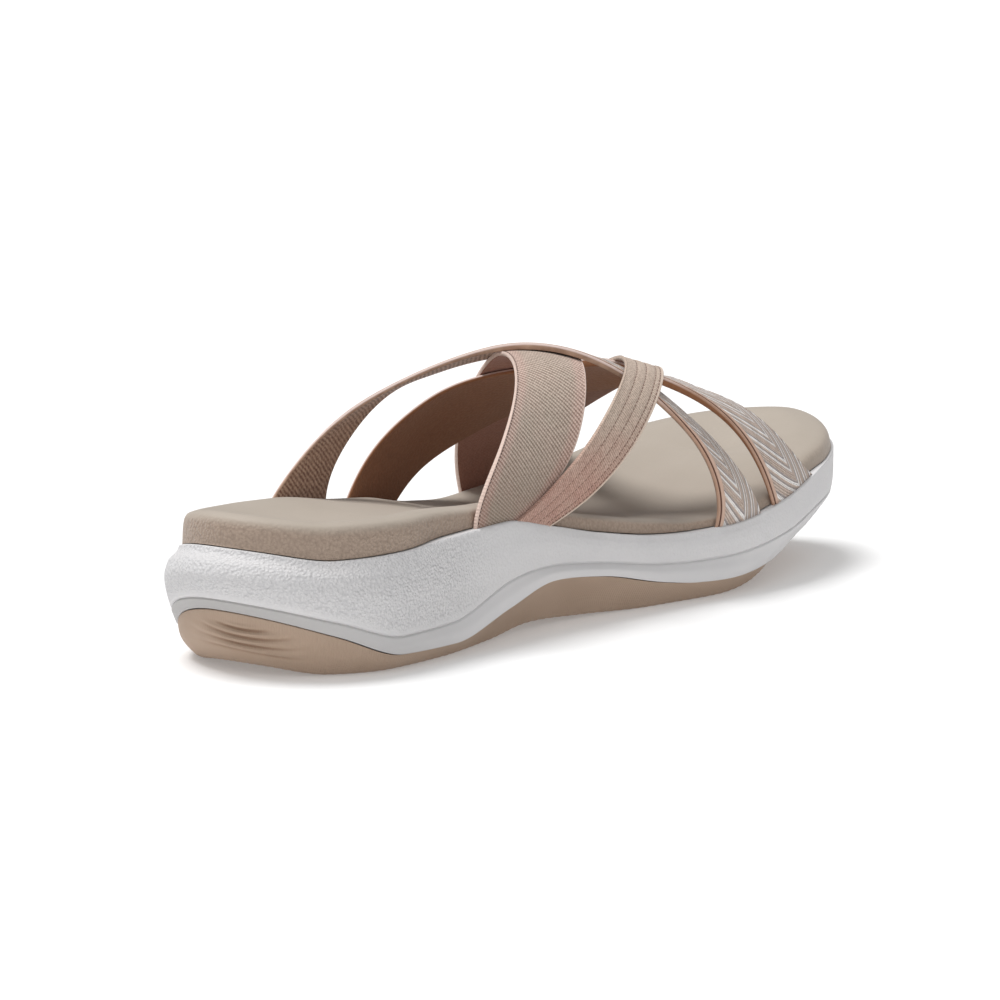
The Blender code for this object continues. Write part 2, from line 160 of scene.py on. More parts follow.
# Side of the sole, one row per section: seam under the footbed as a part of HEEL_HEIGHT, then
# the footbed's wall above it, the top edge of the rubber, the groove above that edge and the
# lift of the tread off the floor.
SIDE_COLUMNS = ("station", "seam_medial", "seam_lateral", "wall_medial", "wall_lateral",
                "rubber_medial", "rubber_lateral", "band", "lift")
SIDE = (
    (0.0, 1.03, 1.03, 8.5, 8.5, 17.6, 17.6, 3.3, 2.6),
    (6.0, 0.94, 0.895, 9.5, 9.5, 11.2, 8.2, 4.1, 0.2),
    (13.5, 0.95, 0.85, 8.7, 9.3, 4.4, 5.5, 5.2, 0.0),
    (21.5, 0.985, 0.835, 6.9, 9.0, 4.1, 3.5, 5.9, 0.0),
    (31.0, 1.00, 0.76, 4.6, 7.6, 9.9, 7.0, 7.0, 0.6),
    (39.0, 0.88, 0.70, 4.4, 6.8, 14.0, 10.0, 4.3, 2.0),
    (47.0, 0.739, 0.62, 4.4, 5.4, 12.3, 9.0, 3.9, 1.0),
    (56.5, 0.622, 0.56, 3.9, 5.0, 7.4, 6.5, 5.3, 0.0),
    (61.5, 0.60, 0.578, 2.8, 5.0, 5.7, 5.9, 6.2, 0.0),
    (66.5, 0.607, 0.605, 2.6, 5.0, 5.2, 5.5, 6.7, 0.0),
    (76.0, 0.73, 0.70, 3.6, 5.0, 7.5, 9.5, 7.3, 2.0),
    (86.0, 0.895, 0.865, 5.2, 5.5, 11.5, 13.0, 7.6, 7.5),
    (100.0, 1.03, 1.03, 6.0, 6.0, 15.0, 15.0, 6.5, 11.5),
)

# Middle of the footbed's top and of the foam's top below it.
MIDDLE_COLUMNS = ("station", "top", "floor")
MIDDLE = (
    (12.5, 34.5, 27.5),
    (21.5, 34.5, 27.5),
    (31.0, 32.5, 26.5),
    (39.0, 29.0, 24.2),
    (47.0, 25.0, 20.5),
    (56.5, 21.0, 17.0),
    (66.5, 20.3, 16.5),
    (76.0, 24.8, 21.0),
    (84.0, 31.0, 26.0),
)

# Instep sections: height of the strap surface at a quarter, half and three quarters of the way
# over the foot, from the medial to the lateral side, as parts of INSTEP_HEIGHT.
INSTEP_COLUMNS = ("station", "medial", "ridge", "lateral")
INSTEP = (
    (23.5, 0.81, 0.91, 0.785),
    (35.0, 0.837, 0.986, 0.843),
    (47.0, 0.82, 1.0, 0.82),
    (58.5, 0.774, 0.904, 0.686),
    (70.5, 0.70, 0.757, 0.60),
    (82.0, 0.611, 0.643, 0.54),
)
RIDGE_SHIFT = -0.2

# Straps from the medial to the lateral side: stations of the rear and front edge along the way
# over the foot, and how far each edge stands off the instep. Layers count outwards from the foot.
STRAP_COLUMNS = ("way", "rear", "front", "rear_lift", "front_lift")
STRAPS = {
    "back_chevron": (
        (0.0, 65.0, 71.8, 0.0, 0.0),
        (0.2, 60.9, 63.3, 0.1, 0.1),
        (0.4, 52.8, 57.0, 1.8, 0.7),
        (0.6, 44.7, 52.0, -0.3, 0.2),
        (0.8, 33.2, 41.2, -0.4, 0.0),
        (1.0, 21.3, 33.4, 0.0, 0.0),
    ),
    "twill": (
        (0.0, 26.1, 34.2, 0.0, 0.0),
        (0.2, 32.8, 46.1, 0.0, 0.0),
        (0.4, 41.9, 53.1, -0.3, 0.5),
        (0.6, 49.3, 60.4, -0.3, 0.5),
        (0.8, 55.9, 66.9, 0.0, 0.0),
        (1.0, 61.2, 71.5, 0.0, 0.0),
    ),
    "front_chevron": (
        (0.0, 74.1, 83.5, 0.0, 0.0),
        (0.2, 70.0, 76.8, 0.3, -0.1),
        (0.4, 62.9, 71.3, 2.5, 1.8),
        (0.6, 54.1, 66.6, -0.2, 0.7),
        (0.8, 45.3, 59.0, -0.3, 0.0),
        (1.0, 36.0, 45.6, 0.0, 0.0),
    ),
    "stitched": (
        (0.0, 33.3, 39.4, 0.0, 0.0),
        (0.2, 48.6, 55.6, 0.6, 0.5),
        (0.4, 59.1, 64.8, 1.4, 1.2),
        (0.6, 64.7, 70.4, -0.7, -0.5),
        (0.8, 70.0, 75.2, 0.0, 0.0),
        (1.0, 74.3, 79.9, 0.0, 0.0),
    ),
}
# Where a strap bends up: middle and half length of the way, rise of the rear and the front edge.
BENDS = {"back_chevron": (0.785, 0.07, 0.0, 3.0), "front_chevron": (0.47, 0.06, 1.5, 2.4)}
STRAP_LAYERS = ("front_chevron", "twill", "back_chevron", "stitched")
LAYER_STEP = 1.2
LAYER_RAMP = 0.18
STITCHED_FOOT = 0.9
WAY_PROBE = 1e-3

# Cloth of the straps: half its thickness, its place in the solid's thickness and the part of the
# way by which its ends run on into the sole.
CLOTH = 0.55
CLOTH_OUT = -0.3
SUNK_END = 0.004

# Bindings along the rear and front edge of each strap: their widths, their raise, the slope that
# ends them and the rows of points on both sides of that slope.
BINDINGS = {
    "back_chevron": (2.4, 0.8),
    "twill": (0.6, 0.6),
    "front_chevron": (2.4, 0.8),
    "stitched": (0.5, 1.1),
}
BINDING_RAISE = 0.16
BINDING_SLOPE = 0.3
SLOPE_LEAD = 0.25
ROW_BEFORE = 0.3
ROW_AFTER = 0.1

# Sewn channels of a strap, at parts of its width.
CHANNELS = {"stitched": (0.3, 0.55, 0.8)}
CHANNEL_DEPTH = 0.22
CHANNEL_WIDTH = 0.55

# Chevron straps have a lining that thickens towards the crest and the rear edge, thins out past
# the crest and shows at the rear edge as a lip, parted from the binding by a narrow seam.
LINING = {"back_chevron": 0.8, "front_chevron": 1.3}
LINING_REACH = 0.8
LINING_FADE = 0.8
LINING_FADE_WAY = (0.5, 0.65)
LIP_DROP = 0.2
LIP_SEAM = 1.0
LIP_SEAM_WIDTH = 0.2
LIP_SEAM_DEPTH = 0.3
LIP_SEAM_ROWS = (-1.5, -0.75, 0.0, 0.75, 1.5)

# Stitches: pitch, length and radius, and the distance of an edge row from its edge. Their form is
# given as parts of the half length and of the radius.
TWILL_STITCH = (1.05, 0.6, 0.17)
TWILL_EDGE_ROW = 1.0
ROW_STITCH = (1.5, 1.15, 0.15)
STITCHED_EDGE_ROW = 1.5
THREAD_SIDES = 6
THREAD_REACH = np.array([-1.0, -0.75, 0.0, 0.75, 1.0])
THREAD_GIRTH = np.array([0.25, 0.8, 1.0, 0.8, 0.25])

# Camera, as in the photograph.
AZIMUTH = -52.305
ELEVATION = 9.916
DISTANCE = 1.604
TARGET = (-6.77, -1.21, 30.0)
LENS = 210.67
SENSOR = 36.0

# Lamps: strength, spread in degrees and the way they shine. The sky and the floor's glow soften
# their shadows.
LAMPS = {
    "overhead": (2.8, 32.0, (0.1, -0.35, -1.0)),
    "fill": (0.9, 110.0, (0.6, 0.5, -0.5)),
}
SKY = 0.25
FLOOR_GLOW = 0.2
FLOOR_SHADE = 0.78
FLOOR_REACH = 9.0


def smooth(x, xs, ys):
    """Cubic through the rows of a table that never swings past its own values."""
    xs = np.asarray(xs, float)
    ys = np.asarray(ys, float)
    x = np.clip(np.asarray(x, float), xs[0], xs[-1])
    step = np.diff(xs)
    rise = np.diff(ys) / step
    slope = np.zeros_like(ys)
    same = rise[:-1] * rise[1:] > 0
    both = np.where(same, rise[:-1] + rise[1:], 1.0)
    slope[1:-1] = np.where(same, 2 * rise[:-1] * rise[1:] / both, 0.0)
    slope[0] = rise[0]
    slope[-1] = rise[-1]
    k = np.clip(np.searchsorted(xs, x, side="right") - 1, 0, len(step) - 1)
    t = (x - xs[k]) / step[k]
    first = ys[k] * (1 + 2 * t) * (1 - t) ** 2 + ys[k + 1] * t * t * (3 - 2 * t)
    return first + step[k] * t * (1 - t) * (slope[k] * (1 - t) - slope[k + 1] * t)


def ease(t):
    """Soft step from 0 to 1."""
    t = np.clip(t, 0.0, 1.0)
    return t * t * (3 - 2 * t)


def hump(t):
    """Bell of height 1 about 0."""
    return np.exp(-t ** 2)


def between(value, start, full):
    """Soft step that starts at one value and is full at another."""
    return ease((value - start) / (full - start))


def column(rows, names, name):
    """One named column of a table."""
    return np.array([row[names.index(name)] for row in rows])


def table(rows, names, name, x):
    """Value of a named column at places x along the sole."""
    return smooth(x, column(rows, names, "station") * STATION, column(rows, names, name))


def zone(x, start, full, *end):
    """Soft step between two stations at places x, or a plateau with the two that end it."""
    step = between(x / STATION, start, full)
    return step - zone(x, *end) if end else step


def run_along(line):
    """Distance along a line to each of its points."""
    return np.r_[0, np.cumsum(np.linalg.norm(np.diff(line, axis=0), axis=1))]


def closed_curve(points):
    """Dense closed curve through points, as short cubic pieces."""
    points = np.asarray(points, float)
    before = np.roll(points, 1, axis=0)
    after = np.roll(points, -1, axis=0)
    beyond = np.roll(points, -2, axis=0)
    t = np.linspace(0, 1, CURVE_STEPS, endpoint=False)[None, :, None]
    a, p, b, c = (q[:, None, :] for q in (before, points, after, beyond))
    curve = 0.5 * (2 * p + (b - a) * t + (2 * a - 5 * p + 4 * b - c) * t ** 2
                   + (3 * p - a - 3 * b + c) * t ** 3)
    return curve.reshape(-1, 2)


def even_steps(line, count):
    """Points at even spacing along a line, without its last point."""
    run = run_along(line)
    at = np.linspace(0, run[-1], count, endpoint=False)
    return np.column_stack([np.interp(at, run, line[:, k]) for k in (0, 1)])


def plan_outline():
    """Ring of points round the sole, with its outward directions and its run from the heel."""
    x = column(PLAN, PLAN_COLUMNS, "station") * STATION
    medial = np.column_stack([x, -column(PLAN, PLAN_COLUMNS, "medial") * BALL_WIDTH])
    lateral = np.column_stack([x, column(PLAN, PLAN_COLUMNS, "lateral") * BALL_WIDTH])
    rows = np.vstack([(0.0, 0.0), medial, (LENGTH, TOE_TIP_SIDE), lateral[::-1]])
    curve = closed_curve(rows)
    toe = (len(medial) + 1) * CURVE_STEPS
    closed = np.vstack([curve, curve[:1]])
    ring = np.vstack([even_steps(closed[:toe + 1], SIDE_STEPS),
                      even_steps(closed[toe:], SIDE_STEPS)])
    along = np.roll(ring, -1, axis=0) - np.roll(ring, 1, axis=0)
    out = np.column_stack([along[:, 1], -along[:, 0]])
    run = run_along(np.vstack([ring, ring[:1]]))
    run = np.where(np.arange(RING) > SIDE_STEPS, run[:-1] - run[-1], run[:-1])
    return ring, out / np.linalg.norm(out, axis=1)[:, None], run


PLAN_RING, PLAN_OUT, RUN = plan_outline()
RING_X = np.clip(PLAN_RING[:, 0], 0, LENGTH)
LATERAL = np.arange(RING) > SIDE_STEPS
TOWARD_HEEL = np.clip(1 - RING_X / (HEEL_END * STATION), 0, 1)
TOWARD_TOE = zone(RING_X, *TOE_ZONE)
TOWARD_ARCH = zone(RING_X, *ARCH_ZONE)
UNDER_STRAPS = zone(RING_X, *STRAP_ZONE)
GRAINY = zone(RING_X, *GRAIN_ZONE)


def side(name):
    """A height column of the sole's side at every point of the ring."""
    if name in SIDE_COLUMNS:
        return table(SIDE, SIDE_COLUMNS, name, RING_X)
    medial = table(SIDE, SIDE_COLUMNS, name + "_medial", RING_X)
    lateral = table(SIDE, SIDE_COLUMNS, name + "_lateral", RING_X)
    return np.where(LATERAL, lateral, medial)


SEAM = side("seam") * HEEL_HEIGHT
RUBBER_EDGE = side("rubber")
BAND = side("band")
LIFT = side("lift")
WALL = side("wall")
LEDGE = BARE_LEDGE + (STRAP_LEDGE - BARE_LEDGE) * UNDER_STRAPS
RUBBER_OUT = HEEL_FLARE * TOWARD_HEEL - TOE_TUCK * TOWARD_TOE
TREAD_IN = -TREAD_INSET - TREAD_SLANT * RUBBER_EDGE - TOE_TUCK * TOWARD_TOE


def ring_at(offset, z):
    """Ring of points at an offset from the plan outline."""
    xy = PLAN_RING + PLAN_OUT * np.broadcast_to(offset, (RING,))[:, None]
    return np.column_stack([xy, np.broadcast_to(z, (RING,))])


def sides_at(x):
    """Medial and lateral edge of the plan outline at places x along the sole."""
    medial = PLAN_RING[:SIDE_STEPS + 1]
    lateral = PLAN_RING[:SIDE_STEPS - 1:-1]
    return np.interp(x, *medial.T), np.interp(x, *lateral.T)


def spine():
    """Point on the middle line of the sole that each point of the ring looks at."""
    first, *_, last = column(MIDDLE, MIDDLE_COLUMNS, "station") * STATION
    x = np.clip(RING_X, first, last)
    medial, lateral = sides_at(x)
    return np.column_stack([x, (medial + lateral) / 2])


SPINE = spine()
SPINE_LIFT = table(SIDE, SIDE_COLUMNS, "lift", SPINE[:, 0])
SPINE_FLOOR = table(MIDDLE, MIDDLE_COLUMNS, "floor", SPINE[:, 0])
SPINE_TOP = table(MIDDLE, MIDDLE_COLUMNS, "top", SPINE[:, 0])


def inward(ring, parts, middle):
    """Rings from a border ring towards the middle line, with the height blending to middle."""
    rings = []
    for part in parts:
        xy = ring[:, :2] * (1 - part) + SPINE * part
        blend = ease(part / parts[-1])
        rings.append(np.column_stack([xy, ring[:, 2] * (1 - blend) + middle * blend]))
    return rings


def make_piece(name, points, faces, materials, slots=None, marks=None):
    """Smooth mesh piece that rides on the sandal's body."""
    points = np.asarray(points, float) - (*PLAN_ORIGIN, 0.0)
    mesh = bpy.data.meshes.new(name)
    mesh.from_pydata((points * MM).tolist(), [], faces)
    for material in materials:
        mesh.materials.append(material)
    if slots is not None:
        mesh.polygons.foreach_set("material_index", slots)
    for mark, values in (marks or {}).items():
        layer = mesh.attributes.new(mark, "FLOAT", "POINT")
        layer.data.foreach_set("value", np.asarray(values, np.float32))
    mesh.shade_smooth()
    mesh.update()
    piece = bpy.data.objects.new(name, mesh)
    bpy.context.scene.collection.objects.link(piece)
    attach(piece, "root")
    return piece


def loft_faces(rows, around):
    """Quads of a run of closed rings, as an array of corner numbers."""
    i, j = np.meshgrid(np.arange(rows - 1), np.arange(around), indexing="ij")
    k = (j + 1) % around
    quads = np.stack([i * around + j, i * around + k, (i + 1) * around + k, (i + 1) * around + j], -1)
    return quads.reshape(-1, 4)


def sole_piece(name, under, wall, over, material, marks):
    """Closed piece through rings round the sole, with a seam of faces across each end ring.

    The marks have a value or a ring of values for each ring of the wall and are 0 elsewhere.
    """
    rings = under + wall + over
    faces = loft_faces(len(rings), RING).tolist()
    for base, turn in ((0, -1), ((len(rings) - 1) * RING, 1)):
        for i in range(SIDE_STEPS):
            corners = [i, i + 1, (RING - i - 1) % RING, (RING - i) % RING]
            faces.append([base + c for c in dict.fromkeys(corners)][::turn])
    flat = {"run": np.tile(np.abs(RUN), len(rings))}
    for mark, rows in marks.items():
        rows = [0.0] * len(under) + rows + [0.0] * len(over)
        flat[mark] = np.concatenate([np.broadcast_to(row, (RING,)) for row in rows])
    return make_piece(name, np.vstack(rings), faces, [material], marks=flat)


def rubber_bed(clear):
    """Rings of the joint between rubber and foam, raised and drawn in by a clearance."""
    rim_in = TREAD_IN - RUBBER_RIM - ARCH_HOLLOW * TOWARD_ARCH - clear
    rim = ring_at(rim_in, RUBBER_EDGE + clear)
    foot = ring_at(rim_in - RUBBER_STEP, LIFT + RUBBER + clear)
    return [rim, foot] + inward(foot, STEP_PARTS, SPINE_LIFT + RUBBER + clear)


def ripple_at(depth):
    """Ripples of the heel's back at a depth below the rubber's top edge, from -1 to 1."""
    off = RUN - RIPPLE_CENTRE
    reach = np.hypot(off / RIPPLE_STRETCH, depth)
    fade = ease((depth - RIPPLE_START) / RIPPLE_PITCH + 0.5) * hump(off / RIPPLE_SPAN)
    fade = fade * (1 - ease((depth - RIPPLE_END) / RIPPLE_PITCH))
    return fade * np.cos(2 * math.pi * (reach - RIPPLE_START) / RIPPLE_PITCH)


def outsole():
    """Rubber sole with a notched tread edge and soft ripples at the back of the heel."""
    swell = HEEL_ROUND * TOWARD_HEEL - ARCH_HOLLOW * TOWARD_ARCH
    notch = TREAD_NOTCH * (0.5 + 0.5 * np.cos(2 * math.pi * RUN / TREAD_PITCH))
    wall, ripples = [], []
    for level in np.linspace(0, 1, RUBBER_LEVELS):
        rise = (RUBBER_EDGE - LIFT) * level
        offset = TREAD_IN * (1 - level) + RUBBER_OUT * level + swell * math.sin(math.pi * level)
        offset -= TREAD_ROUND * np.clip(1 - rise / TREAD_ROUND, 0, 1) ** 2
        offset -= notch * np.clip(1 - rise / (2 * TREAD_ROUND), 0, 1)
        ripple = ripple_at(RUBBER_EDGE - LIFT - rise)
        ripples.append(ripple)
        wall.append(ring_at(offset + RIPPLE_DEPTH * ripple, LIFT + rise))
    tread = inward(wall[0], TREAD_PARTS, SPINE_LIFT)
    marks = {"side": [1.0] * len(wall), "ripple": ripples}
    piece = sole_piece("outsole_rubber", tread[::-1], wall, rubber_bed(0.0), rubber(), marks)
    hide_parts("outsole")


def bed_rings(clear):
    """Rings of the joint between foam and footbed."""
    edge = ring_at(-LEDGE, SEAM + clear)
    return [edge] + inward(edge, FLAT_PARTS, SPINE_FLOOR + clear)


def midsole():
    """Foam wedge with a lip over the rubber, a fine groove line and a bulging heel."""
    foot = RUBBER_EDGE + GAP
    groove = RUBBER_EDGE + BAND
    groove_out = GROOVE_OUT + GROOVE_HEEL_OUT * TOWARD_HEEL - GROOVE_TOE_TUCK * TOE_TUCK * TOWARD_TOE
    lip = LIP - LIP_HEEL_TUCK * TOWARD_HEEL
    lip_out = RUBBER_OUT * (1 - LIP_TURN) + groove_out * LIP_TURN + lip
    bulge = SIDE_BULGE + HEEL_BULGE * TOWARD_HEEL - SIDE_BULGE * TOWARD_TOE
    middle = (groove + SEAM) / 2
    heights = np.array([foot, foot + LIP_RISE * BAND, groove, middle, (middle + SEAM) / 2,
                        SEAM - EDGE_DROP, SEAM])
    offsets = np.array([RUBBER_OUT + lip, lip_out, groove_out, bulge, bulge * SHOULDER,
                        EDGE_OUT * (1 - TOWARD_TOE), np.zeros(RING)])
    below, across, above = FOAM_LEVELS
    levels = np.vstack([
        np.linspace(foot, groove - GROOVE_REACH, below),
        np.linspace(groove - GROOVE_REACH, groove + GROOVE_REACH, across)[1:],
        np.linspace(groove + GROOVE_REACH, SEAM, above)[1:],
    ])
    out = np.empty_like(levels)
    for i in range(RING):
        out[:, i] = smooth(levels[:, i], heights[:, i], offsets[:, i])
    out -= GROOVE_DEPTH * hump((levels - groove) / GROOVE_WIDTH)
    wall = [ring_at(offset, z) for offset, z in zip(out, levels)]
    bottom = rubber_bed(GAP)[::-1] + [ring_at(RUBBER_OUT + lip - LIP_UNDERCUT, foot)]
    top = [ring_at(-EDGE_TURN, SEAM + EDGE_CROWN)] + bed_rings(0.0)
    grain = (FOAM_GRAIN + (1 - FOAM_GRAIN) * GRAINY) * ease((levels - groove) / FOAM_GRAIN_RISE)
    # The band mark paints shade on the foam below the groove at the heel.
    marks = {"grain": list(grain), "band": list(TOWARD_HEEL * (levels < groove))}
    piece = sole_piece("midsole_foam", bottom, wall, top, foam(), marks)
    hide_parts("midsole")


def footbed():
    """Moulded insole with a rolled edge, a heel cup and a rising arch side."""
    inset, part = np.array(FOOTBED_EDGE).T
    run = run_along(np.column_stack([inset, part * WALL.mean()]))
    at = np.linspace(0, run[-1], BED_LEVELS)
    inset, part = smooth(at, run, inset), smooth(at, run, part)
    roll = 1 + TOE_ROLL * TOWARD_TOE
    wall = [ring_at(-LEDGE - a * roll, SEAM + GAP + (WALL - GAP) * b) for a, b in zip(inset, part)]
    dish = inward(wall[-1], DISH_PARTS, SPINE_TOP)
    below = [(1 - between(b, *COVER_TURN)) * (1 - COVER_TOE_FADE * TOWARD_TOE) for b in part]
    grain = BED_GRAIN + (1 - BED_GRAIN) * GRAINY
    marks = {"grain": [grain * b for b in below], "below": below}
    piece = sole_piece("footbed_cover", bed_rings(GAP)[::-1], wall, dish, bed_cover(), marks)
    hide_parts("footbed")


def arch_height(way, heights):
    """Smooth curve through evenly spaced heights, from side to side."""
    knots = np.linspace(0, 1, len(heights))
    z = 0.0
    for k, height in enumerate(heights):
        weight = 1.0
        for j, knot in enumerate(knots):
            if j != k:
                weight = weight * (way - knot) / (knots[k] - knot)
        z = z + weight * height
    return z


def instep(x, way, out):
    """Point of the strap surface at a station and a way over the foot, moved out by out."""
    medial, lateral = sides_at(x)
    inset = GAP + STRAP_THICKNESS / 2
    half = (lateral - medial) / 2 - inset + out
    turn = -np.cos(math.pi * way)
    y = (lateral + medial) / 2 + half * turn + RIDGE_SHIFT * half * (1 - turn ** 2)
    heights = [table(SIDE, SIDE_COLUMNS, "seam_medial", x) * HEEL_HEIGHT + GAP]
    for name in INSTEP_COLUMNS[1:]:
        heights.append(INSTEP_HEIGHT * table(INSTEP, INSTEP_COLUMNS, name, x))
    heights.append(table(SIDE, SIDE_COLUMNS, "seam_lateral", x) * HEEL_HEIGHT + GAP)
    z = arch_height(way, heights) + out * np.sin(math.pi * way)
    return np.stack([x, y, z], axis=-1)


def strap_point(name, across, way):
    """Point of a strap's middle surface, across 0 at the rear edge and 1 at the front edge."""
    edges = {c: arch_height(way, column(STRAPS[name], STRAP_COLUMNS, c)) for c in STRAP_COLUMNS[1:]}
    x = (edges["rear"] * (1 - across) + edges["front"] * across) * STATION
    ramp = ease(np.minimum(way, 1 - way) / LAYER_RAMP)
    foot = STITCHED_FOOT if name == "stitched" else 0.0
    out = foot + (LAYER_STEP * STRAP_LAYERS.index(name) - foot) * ramp
    point = instep(x, way, out)
    point[..., 2] += edges["rear_lift"] * (1 - across) + edges["front_lift"] * across
    if name in BENDS:
        middle, reach, rear, front = BENDS[name]
        point[..., 2] += (rear * (1 - across) + front * across) * hump((way - middle) / reach)
    return point


def strap_frame(name, across, way):
    """Points of a strap's middle surface with the directions along it and outward."""
    d = WAY_PROBE
    point = strap_point(name, across, way)
    along = strap_point(name, across, way + d) - strap_point(name, across, way - d)
    over = strap_point(name, across + d, way) - strap_point(name, across - d, way)
    out = np.cross(over, along)
    return point, *(v / np.linalg.norm(v, axis=-1, keepdims=True) for v in (along, out))


def strap_width(name, way):
    """Width of a strap from rear to front edge."""
    ends = [strap_point(name, np.full_like(way, a), way) for a in (0.0, 1.0)]
    return np.linalg.norm(ends[1] - ends[0], axis=-1)


def binding_rise(inside, width):
    """Part of the raise that a binding of some width has at places inside the strap's edge."""
    return 1 - ease((inside - width + SLOPE_LEAD) / BINDING_SLOPE)


def strap_relief(name, place, width):
    """How far a strap's outer face stands out at a place across it: bindings, lip and channels."""
    rear, front = BINDINGS[name]
    relief = BINDING_RAISE * (binding_rise(place, rear) + binding_rise(width - place, front))
    if name in LINING:
        off = (place - LIP_SEAM) / LIP_SEAM_WIDTH
        relief = relief - LIP_DROP * (1 - ease(off)) - LIP_SEAM_DEPTH * hump(off)
    for part in CHANNELS.get(name, ()):
        relief = relief - CHANNEL_DEPTH * hump((place - part * width) / CHANNEL_WIDTH)
    return relief


def strap_section(name, width, lined):
    """Closed section of a strap: places across it and heights over its middle surface."""
    rear, front = BINDINGS[name]
    start, end = rear + ROW_AFTER, width - front - ROW_AFTER
    edges = [CLOTH, rear - ROW_BEFORE, start, end, width - front + ROW_BEFORE, width - CLOTH]
    seam = LIP_SEAM + LIP_SEAM_WIDTH * np.array(LIP_SEAM_ROWS)
    places = np.sort(np.r_[edges, seam, np.linspace(start, end, FACE_STEPS + 1)[1:-1]])
    top = CLOTH + strap_relief(name, places, width)
    low = CLOTH + lined * (1 - ease(places / width / LINING_REACH))
    middle, half = (top - low) / 2, (top + low) / 2
    turn = np.linspace(0, math.pi, ROUND_STEPS + 1)[1:-1]
    return np.vstack([
        np.column_stack([places, top]),
        np.column_stack([width - CLOTH + CLOTH * np.sin(turn), middle[-1] + half[-1] * np.cos(turn)]),
        np.column_stack([places, -low])[::-1],
        np.column_stack([CLOTH - CLOTH * np.sin(turn), middle[0] - half[0] * np.cos(turn)]),
    ])


def strap(name, face, inside):
    """One strap as a thin cloth band with rolled edges, bindings and sewn channels."""
    way = np.linspace(-SUNK_END, 1 + SUNK_END, STRAP_STEPS + 1)
    width = strap_width(name, way)
    lined = LINING.get(name, 0.0) * np.sin(math.pi * np.clip(way, 0, 1))
    lined = lined * (1 - LINING_FADE * between(way, *LINING_FADE_WAY))
    loop = np.array([strap_section(name, w, d) for w, d in zip(width, lined)])
    place, rise = loop[..., 0], loop[..., 1]
    part = place / width[:, None]
    point, _, out = strap_frame(name, part, np.broadcast_to(way[:, None], place.shape))
    points = (point + out * (rise + CLOTH_OUT)[..., None]).reshape(-1, 3)
    around = place.shape[1]
    rolled = ROUND_STEPS - 1
    corner = np.arange(around)
    inner = (corner >= around // 2) & (corner < around - rolled - 1)
    slots = np.tile(inner.astype(np.int32), STRAP_STEPS)
    first, last = list(range(around)), list(range(len(points) - around, len(points)))
    faces = loft_faces(len(way), around).tolist() + [first[::-1], last]
    run = run_along(strap_point(name, np.full_like(way, 0.5), way))
    marks = {
        "across": place.ravel(),
        "along": np.repeat(run, around),
        "edge": np.minimum(place, width[:, None] - place).ravel(),
        "part": part.ravel(),
        "rise": rise.ravel(),
    }
    piece = make_piece("strap_" + name, points, faces, [face, inside], np.r_[slots, 0, 0], marks)
    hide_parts("upper")


def stitches(name, label, seams, stitch, material):
    """Rows of thread along a strap, each at a place across it that its width gives."""
    pitch, length, radius = stitch
    ring = np.linspace(0, 2 * math.pi, THREAD_SIDES, endpoint=False)
    dense = np.linspace(0, 1, SEAM_STEPS + 1)
    points, faces = [], []
    for place_of in seams:
        width = strap_width(name, dense)
        run = run_along(strap_point(name, place_of(width) / width, dense))
        way = np.interp(np.arange(pitch, run[-1] - pitch, pitch), run, dense)
        width = strap_width(name, way)
        place = place_of(width)
        point, along, out = strap_frame(name, place / width, way)
        lift = CLOTH + strap_relief(name, place, width) + CLOTH_OUT
        centre = point + out * lift[:, None]
        over = np.cross(out, along)
        for c, a, o, n in zip(centre, along, over, out):
            base = len(points) * len(ring) * len(THREAD_REACH)
            turn = np.cos(ring)[:, None] * o + np.sin(ring)[:, None] * n
            body = c + THREAD_REACH[:, None, None] * a * length / 2
            body = body + THREAD_GIRTH[:, None, None] * turn * radius
            points.append(body.reshape(-1, 3))
            faces.extend((loft_faces(len(THREAD_REACH), len(ring)) + base).tolist())
            last = base + (len(THREAD_REACH) - 1) * len(ring)
            faces.append(list(range(base, base + len(ring)))[::-1])
            faces.append(list(range(last, last + len(ring))))
    piece = make_piece(f"stitches_{name}_{label}", np.vstack(points), faces, [material])


def colour(red, green, blue):
    """Linear colour from screen values of 0 to 255."""
    screen = np.array([red, green, blue]) / 255
    linear = np.where(screen <= 0.04045, screen / 12.92, ((screen + 0.055) / 1.055) ** 2.4)
    return (*linear.tolist(), 1.0)


# Colours of foam, rubber, footbed and yarns, in pairs of dark and light where they vary.
FOAM = (colour(210, 209, 210), colour(218, 216, 216))
# Painted shade in the pits of the foam's pebble grain.
FOAM_PIT_SHADE = colour(178, 177, 180)
# Painted shade on the foam's lower band at the heel, below the groove, where it faces downwards.
FOAM_HEEL_BAND_SHADE = colour(168, 166, 164)
TAN = (colour(168, 145, 126), colour(180, 157, 138))
# Painted shade in the hollows between the rubber's ripples.
TAN_HOLLOW_SHADE = colour(140, 114, 94)
BED_TOP = (colour(170, 159, 146), colour(178, 167, 155))
BED_WALL = (colour(160, 141, 126), colour(174, 154, 138))
# Painted shade in the pits of the footbed wall's pebble grain.
BED_PIT_SHADE = colour(124, 107, 95)
TWILL_DARK = (colour(120, 106, 92), colour(140, 110, 97))
TWILL_LIGHT = (colour(210, 196, 180), colour(226, 200, 187))
TWILL_EDGE = colour(220, 196, 184)
ROSE = (colour(156, 115, 101), colour(212, 173, 157))
GREIGE = (colour(160, 140, 124), colour(226, 206, 190))
ELASTIC_RIM = colour(222, 202, 186)
KNIT_YARN = colour(180, 158, 144)
PEACH = (colour(194, 162, 144), colour(212, 182, 164))
LIP_SHADES = (colour(176, 140, 118), colour(192, 158, 138))
CREST_LIP = colour(222, 202, 194)
SEAM_SHADE = colour(96, 66, 54)
BROWN_THREAD = (colour(128, 92, 76), colour(108.8, 78.2, 64.6))
DARK_THREAD = (colour(84, 56, 46), colour(71.4, 47.6, 39.1))

